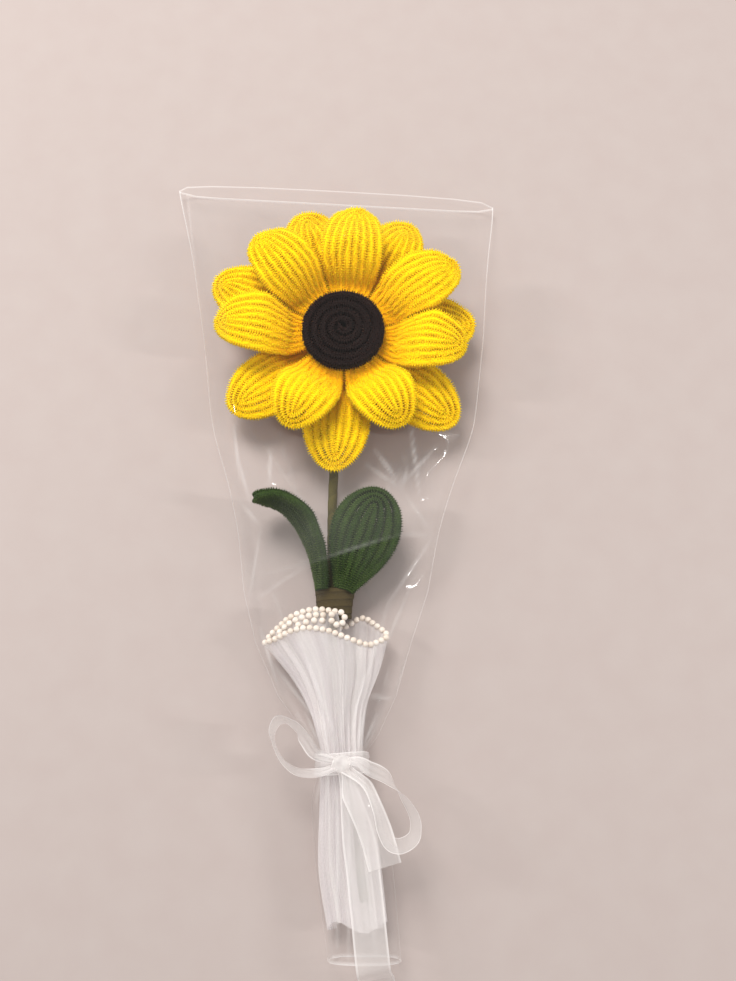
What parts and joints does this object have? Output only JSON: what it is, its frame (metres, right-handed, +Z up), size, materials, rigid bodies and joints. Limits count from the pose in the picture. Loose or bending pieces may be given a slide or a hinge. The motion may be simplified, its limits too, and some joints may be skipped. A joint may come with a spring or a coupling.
{
  "type": "wrapped chenille sunflower",
  "caption": "Single sunflower of fuzzy chenille on a taped stem, with leaves, gathered tulle with a pearl edge, a clear film sleeve and a sheer ribbon bow.",
  "frame": {"origin": "on the surface that the flower lies on, under the middle of the flower's head", "axes": "+Y along the stem from the foot to the head, +Z up out of the flower's face, +X to the right of the picture"},
  "size_m": [0.1684, 0.3964, 0.0419],
  "materials": {
    "yellow_chenille": "dense pile",
    "brown_chenille": "dense pile",
    "green_chenille": "dense pile",
    "stem_tape": "matt, wound",
    "leaf_tape": "matt, wound",
    "tulle": "sheer net",
    "pearl": "pearly gloss",
    "clear_film": "clear, glossy",
    "ribbon": "sheer weave"
  },
  "bodies": {
    "root": {"front_petal_1": "yellow_chenille", "front_petal_2": "yellow_chenille", "front_petal_3": "yellow_chenille", "front_petal_4": "yellow_chenille", "front_petal_5": "yellow_chenille", "front_petal_6": "yellow_chenille", "front_petal_7": "yellow_chenille", "back_petal_1": "yellow_chenille", "back_petal_2": "yellow_chenille", "back_petal_3": "yellow_chenille", "back_petal_4": "yellow_chenille", "back_petal_5": "yellow_chenille", "back_petal_6": "yellow_chenille", "back_petal_7": "yellow_chenille", "flower_centre": "brown_chenille", "leaf_left": "green_chenille", "leaf_right": "green_chenille", "stem": "stem_tape", "head_binding": "stem_tape", "leaf_tape": "leaf_tape", "tulle_wrap": "tulle", "pearl_trim": "pearl", "sleeve_front_panel": "clear_film", "sleeve_back_panel": "clear_film", "ribbon_bow": "ribbon"}
  },
  "joints": []
}
